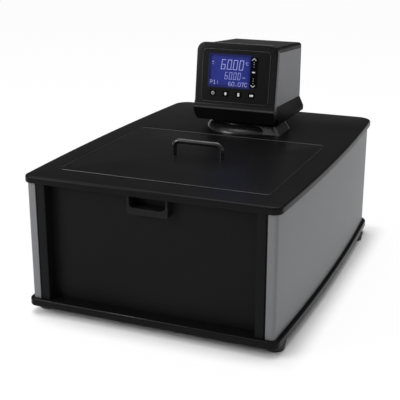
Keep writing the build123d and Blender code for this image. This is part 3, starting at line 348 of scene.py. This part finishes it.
def displayScreen():
    # backlit screen that fades into its dark rim, on a plain metal can
    paint = Paint("displayScreen", specular=0.04, glowStrength=1.0)
    across, up, out = fromScreenMiddle(paint)

    def fade(value, size):
        inside = size * mm / 2 - paint.size(value)
        return paint.softStep(inside, screen["edge"] * mm, screen["spillShare"], 1.0)

    lit = fade(across, screen["width"]) * fade(up, screen["height"]) * (out > screen["front"] * mm)
    cloud = paint.noise(60, 2)
    blue = paint.mix(cloud, near(screen["blue"], (0, 0, 0), 0.12), near(screen["blue"], (1, 1, 1), 0.012))
    paint.set("glow", paint.mix(lit, (0, 0, 0), blue))
    paint.set("color", paint.mix(lit, screen["can"], screen["glass"]))
    paint.set("roughness", 0.4 + 0.1 * (cloud - 0.5))
    return paint.material


def glowingPanel():
    # the face panel, with the screen's blue light painted onto it as a glow round the window
    look = mouldings["panelPlastic"]
    paint = Paint("glowingPanel", specular=look["specular"], glowStrength=1.0)
    across, up, out = fromScreenMiddle(paint)
    gap = paint.gapTo((across, up), (screen["width"] * mm / 2, screen["height"] * mm / 2))
    paintedSpill = paint.softStep(gap, screen["paintedSpill"] * mm, screen["spillShare"], 0.0)
    paint.set("glow", paint.mix(paintedSpill, (0, 0, 0), screen["blue"]))
    mouldSurface(paint, look)
    return paint.material


def windowGlass():
    paint = Paint("windowGlass", color=(0.004, 0.004, 0.005), specular=0.12, alpha=0.10)
    paint.set("roughness", 0.16 + 0.04 * (paint.noise(40, 2) - 0.5))
    paint.material.surface_render_method = "BLENDED"
    return paint.material


def ink(name, colour, strength):
    # printed or lit marks, a little uneven as screen print is
    paint = Paint(name, specular=0.3, roughness=0.5, glowStrength=strength)
    cloud = paint.noise(900, 2)
    tone = paint.mix(cloud, near(colour, (0, 0, 0), 0.12), colour)
    paint.set("color", tone)
    paint.set("glow", tone)
    return paint.material


finishes = {name: moulded(name) for name in mouldings}
finishes.update({name: coated(name) for name in coats})
finishes.update({name: metal(name) for name in metals})
finishes.update({
    "foam": foam(),
    "circuitBoard": circuitBoard(),
    "displayScreen": displayScreen(),
    "glowingPanel": glowingPanel(),
    "windowGlass": windowGlass(),
    "displayInk": ink("displayInk", (0.30, 0.33, 0.62), 0.75),
    "keyInk": ink("keyInk", (0.62, 0.62, 0.62), 0.10),
})
print("mixed", len(finishes), "finishes")

wears = {
    "base_tray": "basePlastic", "feet": "rubber", "side_panel_right": "silverSheet",
    "side_panel_left": "silverSheet", "front_post_right": "powderBlack",
    "front_post_left": "powderBlack", "front_panel": "powderBlack", "front_pull": "socketPlastic",
    "rear_panel": "powderBlack", "tank": "tankSteel", "tank_insulation": "foam",
    "deck_gasket": "rubber", "deck": "deckPlastic", "lid": "deckPlastic",
    "lid_handle": "handlePaint", "lid_screws": "brightScrew", "drain_spout": "turnedSteel",
    "drain_cap": "pumpPlastic", "outlet_pipe": "turnedSteel", "return_pipe": "turnedSteel",
    "port_nuts": "turnedSteel", "swivel_base": "swivelPlastic", "pump_plate": "turnedSteel",
    "neck_tube": "turnedSteel", "neck_ring": "pumpPlastic", "pump_motor": "motorPaint",
    "pump_shaft": "turnedSteel", "pump_column": "tankSteel", "pump_housing": "pumpPlastic",
    "impeller": "pumpPlastic", "heater_coil": "tankSteel", "temperature_probe": "tankSteel",
    "float_stem": "tankSteel", "level_float": "pumpPlastic", "lower_housing": "skirtPlastic",
    "head_floor": "skirtPlastic", "head_cover": "coverPlastic", "head_side_right": "greyPlastic",
    "head_side_left": "greyPlastic", "bezel": "bezelPlastic", "face_panel": "glowingPanel",
    "display_window": "windowGlass", "lcd_module": "displayScreen", "touch_strip": "keyPlastic",
    "keypad_board": "circuitBoard", "control_board": "circuitBoard", "board_screws": "brightScrew",
    "power_board": "circuitBoard", "transformer": "motorPaint", "heat_sink": "castAluminium",
    "power_inlet": "socketPlastic", "switch_frame": "socketPlastic", "power_rocker": "socketPlastic",
    "serial_socket": "brightScrew", "probe_jack": "socketPlastic", "cover_screws": "brightScrew",
    "key_power": "keyPlastic", "key_stop": "keyPlastic", "key_menu": "keyPlastic",
    "key_enter": "keyPlastic",
}

edgeRounds = {
    "deck": 0.6, "lid": 0.5, "base_tray": 0.5, "bezel": 0.7, "face_panel": 0.35, "head_cover": 0.4,
    "lower_housing": 0.7, "swivel_base": 0.6, "front_pull": 0.4, "front_post_right": 0.5,
    "front_post_left": 0.5, "side_panel_right": 0.25, "side_panel_left": 0.25,
    "head_side_right": 0.3, "head_side_left": 0.3, "touch_strip": 0.2, "key_power": 0.15,
    "key_stop": 0.15, "key_menu": 0.15, "key_enter": 0.15, "front_panel": 0.3, "drain_cap": 0.3,
    "power_inlet": 0.25, "switch_frame": 0.2, "power_rocker": 0.25, "serial_socket": 0.2,
    "probe_jack": 0.25, "port_nuts": 0.3,
}


# sharp edges in degrees, the bevel's segments and the distance that joins loose corners, in metres
edgeLook = {"sharpAbove": 28, "bevelAbove": 34, "segments": 2, "join": 0.00001}


def softEdges():
    # node group that joins a part's loose triangles and shades all but its sharp edges smooth
    group = bpy.data.node_groups.new("softEdges", "GeometryNodeTree")
    group.interface.new_socket("Geometry", in_out="INPUT", socket_type="NodeSocketGeometry")
    group.interface.new_socket("Geometry", in_out="OUTPUT", socket_type="NodeSocketGeometry")
    inside = group.nodes.new("NodeGroupInput")
    outside = group.nodes.new("NodeGroupOutput")
    merge = group.nodes.new("GeometryNodeMergeByDistance")
    merge.inputs["Distance"].default_value = edgeLook["join"]
    smooth = group.nodes.new("GeometryNodeSetShadeSmooth")
    smooth.domain = "FACE"
    sharp = group.nodes.new("GeometryNodeSetShadeSmooth")
    sharp.domain = "EDGE"
    sharp.inputs["Shade Smooth"].default_value = False
    angle = group.nodes.new("GeometryNodeInputMeshEdgeAngle")
    limit = group.nodes.new("FunctionNodeCompare")
    limit.operation = "GREATER_THAN"
    limit.inputs[1].default_value = math.radians(edgeLook["sharpAbove"])
    link = group.links.new
    link(inside.outputs[0], merge.inputs["Geometry"])
    link(merge.outputs[0], smooth.inputs["Geometry"])
    link(smooth.outputs[0], sharp.inputs["Geometry"])
    link(angle.outputs["Unsigned Angle"], limit.inputs[0])
    link(limit.outputs[0], sharp.inputs["Selection"])
    link(sharp.outputs[0], outside.inputs[0])
    return group


softEdgeGroup = softEdges()
for name, finish in wears.items():
    part = nodes[name]
    part.data.materials.clear()
    part.data.materials.append(finishes[finish])
    joined = part.modifiers.new("joined", "NODES")
    joined.node_group = softEdgeGroup
    if name in edgeRounds:
        rounded = part.modifiers.new("rounded", "BEVEL")
        rounded.width = edgeRounds[name] * mm
        rounded.segments = edgeLook["segments"]
        rounded.limit_method = "ANGLE"
        rounded.angle_limit = math.radians(edgeLook["bevelAbove"])
        rounded.use_clamp_overlap = True
        rounded.harden_normals = True
print("finished", len(wears), "parts")


def pieceFrom(shape, name, finish, body, place):
    # a mesh object at the origin from a bmesh, riding on a body
    bmesh.ops.remove_doubles(shape, verts=shape.verts, dist=0.000001)
    bmesh.ops.recalc_face_normals(shape, faces=shape.faces)
    bmesh.ops.transform(shape, matrix=place, verts=shape.verts)
    mesh = bpy.data.meshes.new(name)
    shape.to_mesh(mesh)
    shape.free()
    mesh.materials.append(finishes[finish])
    piece = bpy.data.objects.new(name, mesh)
    bpy.context.scene.collection.objects.link(piece)
    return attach(piece, body)


def thicken(shape, depth):
    # gives every flat mark a little height, in the marks' own plane
    made = bmesh.ops.extrude_face_region(shape, geom=list(shape.faces))
    raised = [v for v in made["geom"] if isinstance(v, bmesh.types.BMVert)]
    bmesh.ops.translate(shape, vec=(0, 0, depth), verts=raised)


def bar(shape, start, end, width):
    # stroke with round ends between two points
    start, end = Vector((*start, 0)), Vector((*end, 0))
    length = (end - start).length
    turn = Matrix.Rotation(math.atan2(end.y - start.y, end.x - start.x), 4, "Z")
    made = bmesh.ops.create_circle(shape, cap_ends=True, segments=16, radius=width / 2)["verts"]
    far = [v for v in made if v.co.x > width * 0.01]
    bmesh.ops.translate(shape, vec=(length, 0, 0), verts=far)
    bmesh.ops.transform(shape, matrix=Matrix.Translation(start) @ turn, verts=made)


def plate(shape, centre, width, height, corner=0.0):
    # flat rectangle with rounded corners
    made = bmesh.ops.create_grid(shape, x_segments=1, y_segments=1, size=0.5)["verts"]
    bmesh.ops.scale(shape, vec=(width, height, 1), verts=made)
    bmesh.ops.translate(shape, vec=(*centre, 0), verts=made)
    if corner:
        bmesh.ops.bevel(shape, geom=made, offset=corner, segments=4, profile=0.5, affect="VERTICES",
                        material=-1)


def disc(shape, centre, radius):
    made = bmesh.ops.create_circle(shape, cap_ends=True, segments=12, radius=radius)["verts"]
    bmesh.ops.translate(shape, vec=(*centre, 0), verts=made)


def ring(shape, centre, radius, width, start=0, sweep=360):
    # arc made of short strokes
    steps = max(6, int(sweep / 15))
    points = []
    for i in range(steps + 1):
        angle = math.radians(start + sweep * i / steps)
        points.append((centre[0] + radius * math.cos(angle), centre[1] + radius * math.sin(angle)))
    for first, second in zip(points, points[1:]):
        bar(shape, first, second, width)


digits = {
    "lean": 0.10,
    "segments": {"a": ((0, 2), (1, 2)), "b": ((1, 1), (1, 2)), "c": ((1, 0), (1, 1)), "d": ((0, 0), (1, 0)),
                 "e": ((0, 0), (0, 1)), "f": ((0, 1), (0, 2)), "g": ((0, 1), (1, 1))},
    "shapes": {"0": "abcdef", "6": "acdefg", "-": "g"},
    "rows": [
        {"text": "60.00", "left": -25.6, "low": 60.0, "pitch": 10.1, "wide": 6.1, "high": 7.3,
         "stroke": 0.118},
        {"text": "60.00", "left": -18.6, "low": 44.6, "pitch": 7.2, "wide": 4.0, "high": 5.3,
         "stroke": 0.108},
    ],
}

dotFont = {
    "6": ("01110", "10000", "10000", "11110", "10001", "10001", "01110"),
    "0": ("01110", "10001", "10001", "10001", "10001", "10001", "01110"),
    ".": ("00000", "00000", "00000", "00000", "00000", "00100", "00100"),
    "7": ("11111", "00001", "00010", "00010", "00100", "00100", "00100"),
    "C": ("01110", "10001", "10000", "10000", "10000", "10001", "01110"),
    "P": ("11110", "10001", "10001", "11110", "10000", "10000", "10000"),
    "1": ("00100", "01100", "00100", "00100", "00100", "00100", "01110"),
    ":": ("00000", "00100", "00100", "00000", "00100", "00100", "00000"),
}
dotRows = [
    {"text": "P1:", "left": -43.2, "low": 35.6, "pitch": 5.4, "dot": 0.98},
    {"text": "60.07C", "left": -11.6, "low": 34.2, "pitch": 5.4, "dot": 0.98},
]


def segmentRow(shape, row):
    # seven-segment figures that lean a little to the right
    lean = digits["lean"]
    unit = row["high"]
    width = row["stroke"] * unit * 1.15
    left = row["left"]
    for figure in row["text"]:
        if figure == ".":
            point = left - row["pitch"] + row["wide"] * 1.28
            disc(shape, (point * mm, (row["low"] + 0.1) * mm), width * 0.62 * mm)
            continue
        for segment in digits["shapes"][figure]:
            ends = []
            for x, y in digits["segments"][segment]:
                rise = y * unit
                ends.append(((left + x * row["wide"] + rise * lean) * mm, (row["low"] + rise) * mm))
            bar(shape, ends[0], ends[1], width * mm)
        left += row["pitch"]


def dotRow(shape, row):
    # five by seven dot figures
    left = row["left"]
    for figure in row["text"]:
        for level, line in enumerate(dotFont[figure]):
            for step, lit in enumerate(line):
                if lit == "1":
                    centre = ((left + step * row["dot"]) * mm, (row["low"] + (6 - level) * row["dot"]) * mm)
                    plate(shape, centre, row["dot"] * 0.86 * mm, row["dot"] * 0.86 * mm)
        left += row["pitch"]


displayMarks = {
    "out": -1.36, "thick": 0.03,
    "unit": {"place": (16.7, 68.4), "size": (3.0, 3.7), "stroke": 0.62},
    "degree": {"left": 1.5, "down": 0.4, "radius": 0.5, "stroke": 0.3},
    "dash": {"place": (13.4, 48.1), "half": 2.2, "stroke": 0.8},
    "caret": {"place": (-39.7, 70.6), "half": 1.2, "rise": 1.2, "drop": 1, "stroke": 0.7},
    "underline": {"down": 3.6, "stroke": 0.5},
}


def stroke(shape, points, width):
    # line through points that are given in millimetres
    for first, second in zip(points, points[1:]):
        bar(shape, (first[0] * mm, first[1] * mm), (second[0] * mm, second[1] * mm), width * mm)


def raisedPlace(look, u=0.0, w=0.0):
    # a mark's own plane, at its height over the leaning face
    return facePlace @ Matrix.Translation((u * mm, w * mm, look["out"] * mm))


def makeDisplayMarks():
    shape = bmesh.new()
    for row in digits["rows"]:
        segmentRow(shape, row)
    for row in dotRows:
        dotRow(shape, row)
    unit, degree = displayMarks["unit"], displayMarks["degree"]
    u, w = unit["place"]
    wide, high = unit["size"]
    centre = ((u - degree["left"]) * mm, (w + high - degree["down"]) * mm)
    ring(shape, centre, degree["radius"] * mm, degree["stroke"] * mm)
    stroke(shape, [(u + wide, w + high), (u, w + high), (u, w), (u + wide, w)], unit["stroke"])
    dash = displayMarks["dash"]
    u, w = dash["place"]
    stroke(shape, [(u - dash["half"], w), (u + dash["half"], w)], dash["stroke"])
    caret, underline = displayMarks["caret"], displayMarks["underline"]
    u, w = caret["place"]
    left, right = u - caret["half"], u + caret["half"]
    foot = w - caret["drop"]
    stroke(shape, [(left, foot), (u, w + caret["rise"]), (right, foot)], caret["stroke"])
    stroke(shape, [(left, w - underline["down"]), (right, w - underline["down"])], underline["stroke"])
    thicken(shape, displayMarks["thick"] * mm)
    pieceFrom(shape, "displayMarks", "displayInk", "head", raisedPlace(displayMarks))


stripMarks = {"out": 0.955, "thick": 0.04, "u": 29.9, "up": 79.6, "bar": 57.9, "down": 34.6, "arm": 3.1,
              "drop": 3.1, "stroke": 0.85, "firstDot": 6.2, "dots": 3.6, "dotSize": 0.48,
              "barSize": (4.6, 1.7), "barCorner": 0.3}


def makeStripMarks():
    # arrow up, three dots, a bar, three dots and an arrow down
    look = stripMarks
    shape = bmesh.new()
    u = look["u"]
    for tip, way in ((look["up"], -1), (look["down"], 1)):
        for side in (-1, 1):
            stroke(shape, [(u, tip), (u + side * look["arm"], tip + way * look["drop"])], look["stroke"])
        for i in range(3):
            level = tip + way * (look["firstDot"] + i * look["dots"])
            disc(shape, (u * mm, level * mm), look["dotSize"] * mm)
    wide, high = look["barSize"]
    plate(shape, (u * mm, look["bar"] * mm), wide * mm, high * mm, look["barCorner"] * mm)
    thicken(shape, look["thick"] * mm)
    pieceFrom(shape, "stripMarks", "keyInk", "head", raisedPlace(look))


keyMarks = {"out": 1.405, "thick": 0.04, "w": 21.3}
keyPlaces = {"key_power": -36.5, "key_stop": -14.75, "key_menu": 7.0, "key_enter": 28.75}
powerSign = {"radius": 2.1, "width": 1.0, "start": 118, "sweep": 304, "line": [(0, 0.6), (0, 2.6)],
             "stroke": 0.9}
plateSigns = {
    "key_stop": {"size": (3.4, 4.2), "corner": 0.8},
    "key_menu": {"size": (3.2, 5.4), "corner": 0.7},
    "key_enter": {"size": (6.0, 3.2), "corner": 0.7},
}


def makeKeyMarks():
    # a broken ring with a line on the first key, plain plates on the others
    for key, u in keyPlaces.items():
        shape = bmesh.new()
        centre = (0, 0)
        if key in plateSigns:
            wide, high = plateSigns[key]["size"]
            plate(shape, centre, wide * mm, high * mm, plateSigns[key]["corner"] * mm)
        else:
            look = powerSign
            ring(shape, centre, look["radius"] * mm, look["width"] * mm, look["start"], look["sweep"])
            stroke(shape, look["line"], look["stroke"])
        thicken(shape, keyMarks["thick"] * mm)
        pieceFrom(shape, key + "_mark", "keyInk", key, raisedPlace(keyMarks, u, keyMarks["w"]))


# beads along the lid, face panel and base edges, standing in for the highlight lines on those edges, partly
# painted in their lighter colour
beads = {
    "lidHighlightBead": {"middle": (0, -85.9), "half": (154.9, 133.6), "corner": 8.5, "thick": 0.5, "out": 205.3,
                "body": "bath", "place": Matrix.Identity(4)},
    "panelHighlightBead": {"middle": (0, 49.2), "half": (56.4, 41.4), "corner": 5.6, "thick": 0.4, "out": 0.6,
                  "body": "head", "place": facePlace},
    "baseHighlightBead": {"run": (-172, 172), "front": -265.9, "thick": 0.55, "out": 23.2, "body": "bath",
                 "place": Matrix.Identity(4)},
}
beadSides = 10
cornerSteps = 6


def beadStations(look):
    # points along a bead, each with the direction away from the middle of its outline
    if "run" in look:
        return [(Vector((x, look["front"])), Vector((0, -1))) for x in look["run"]]
    halfWide, halfHigh = look["half"]
    corner = look["corner"]
    stations = []
    for turn, (signX, signY) in enumerate(((1, 1), (-1, 1), (-1, -1), (1, -1))):
        middle = Vector(look["middle"]) + Vector((signX * (halfWide - corner), signY * (halfHigh - corner)))
        for step in range(cornerSteps + 1):
            angle = math.radians(90 * (turn + step / cornerSteps))
            away = Vector((math.cos(angle), math.sin(angle)))
            stations.append((middle + away * corner, away))
    return stations


def makeBead(name):
    # round glossy bead along a moulded edge, where the edge catches the light: the lamps light its curve,
    # and its colour, lighter than the moulding, is a painted highlight line
    look = beads[name]
    shape = bmesh.new()
    rows = []
    for point, away in beadStations(look):
        row = []
        for side in range(beadSides):
            angle = 2 * math.pi * side / beadSides
            flat = point + away * look["thick"] * math.cos(angle)
            level = look["out"] + look["thick"] * math.sin(angle)
            row.append(shape.verts.new((flat.x * mm, flat.y * mm, level * mm)))
        rows.append(row)
    pairs = list(zip(rows, rows[1:]))
    if "run" in look:
        shape.faces.new(rows[0])
        shape.faces.new(rows[-1])
    else:
        pairs.append((rows[-1], rows[0]))
    for first, second in pairs:
        for side in range(beadSides):
            after = (side + 1) % beadSides
            shape.faces.new((first[side], first[after], second[after], second[side])).smooth = True
    pieceFrom(shape, name, "highlightBeadPlastic", look["body"], look["place"])


for name in beads:
    makeBead(name)
makeDisplayMarks()
makeStripMarks()
makeKeyMarks()
print("drew the display, the strip and the keys")

# white floor that keeps its shadow near the cabinet, distances in metres
floor = {"half": 40.0, "color": (0.95, 0.95, 0.95), "white": 0.94, "whiteNear": 0.0, "fade": 0.04,
         "body": (0.186, 0.266), "rays": ("Is Camera Ray", "Is Glossy Ray", "Is Transmission Ray")}


def makeFloor():
    shape = bmesh.new()
    bmesh.ops.create_grid(shape, x_segments=1, y_segments=1, size=floor["half"])
    mesh = bpy.data.meshes.new("studioFloor")
    shape.to_mesh(mesh)
    shape.free()
    paint = Paint("studioFloor", color=floor["color"], roughness=0.9, specular=0.0)
    rays = [paint.node("ShaderNodeLightPath", output=kind) for kind in floor["rays"]]
    seen = paint.largest(paint.largest(rays[0], rays[1]), rays[2])
    glow = paint.node("ShaderNodeEmission", None, {"Color": (1, 1, 1), "Strength": 1.0})
    both = paint.tree.nodes.new("ShaderNodeMixShader")
    gap = paint.gapTo(paint.axes()[:2], floor["body"])
    share = paint.softStep(gap, floor["fade"], floor["whiteNear"], floor["white"])
    paint.feed(both.inputs[0], seen * share)
    paint.tree.links.new(paint.shader.outputs[0], both.inputs[1])
    paint.feed(both.inputs[2], glow)
    paint.tree.links.new(both.outputs[0], paint.tree.nodes["Material Output"].inputs["Surface"])
    mesh.materials.append(paint.material)
    ground = bpy.data.objects.new("studioFloor", mesh)
    bpy.context.scene.collection.objects.link(ground)


lamps = {
    "overhead": {"place": (-0.3, 0.3, 2.2), "aim": (0, 0, 0.2), "size": 2.0, "power": 34},
    "leftFront": {"place": (-1.25, -1.35, 0.9), "aim": (-0.1, -0.1, 0.12), "size": 0.9, "power": 24},
    "right": {"place": (2.4, -0.9, 1.2), "aim": (0, 0, 0.1), "size": 1.4, "power": 5},
}


def makeLamps():
    for name, look in lamps.items():
        light = bpy.data.lights.new(name, "AREA")
        light.size = look["size"]
        light.energy = look["power"]
        lamp = bpy.data.objects.new(name, light)
        lamp.location = look["place"]
        aim = Vector(look["aim"]) - Vector(look["place"])
        lamp.rotation_euler = aim.to_track_quat("-Z", "Y").to_euler()
        bpy.context.scene.collection.objects.link(lamp)


# dark low sky under a bright ceiling, and a white band just over the floor
world = {"low": 0.02, "high": 1.0, "start": 0.35, "band": (0.05, 0.08)}


def makeWorld():
    sky = bpy.data.worlds.new("studio")
    sky.use_nodes = True
    tree = sky.node_tree
    place = tree.nodes.new("ShaderNodeTexCoord")
    split = tree.nodes.new("ShaderNodeSeparateXYZ")
    both = tree.nodes.new("ShaderNodeMath")
    tree.links.new(place.outputs["Generated"], split.inputs[0])
    parts = ((world["start"], 1.0, world["low"], world["high"]), (*world["band"], 1.0, 0.0))
    for i, limits in enumerate(parts):
        part = tree.nodes.new("ShaderNodeMapRange")
        for socket, value in zip(("From Min", "From Max", "To Min", "To Max"), limits):
            part.inputs[socket].default_value = value
        tree.links.new(split.outputs["Z"], part.inputs["Value"])
        tree.links.new(part.outputs[0], both.inputs[i])
    tree.links.new(both.outputs[0], tree.nodes["Background"].inputs["Color"])
    bpy.context.scene.world = sky


camera = {"place": (0.4905, -1.2598, 0.5564), "heading": 22.52, "dip": 18.17, "roll": 0.1,
          "lens": 81.13, "sensor": 36.0}


def makeCamera():
    data = bpy.data.cameras.new("studioCamera")
    data.sensor_fit = "HORIZONTAL"
    data.sensor_width = camera["sensor"]
    data.lens = camera["lens"]
    data.clip_start = 0.01
    eye = bpy.data.objects.new("studioCamera", data)
    turn = Matrix.Rotation(math.radians(camera["heading"]), 4, "Z")
    tip = Matrix.Rotation(math.radians(90 - camera["dip"]), 4, "X")
    roll = Matrix.Rotation(math.radians(camera["roll"]), 4, "Z")
    eye.matrix_world = Matrix.Translation(camera["place"]) @ turn @ tip @ roll
    bpy.context.scene.collection.objects.link(eye)
    bpy.context.scene.camera = eye


makeFloor()
makeLamps()
makeWorld()
makeCamera()
bpy.context.scene.view_settings.view_transform = "Standard"
print("set the floor, lamps and camera")
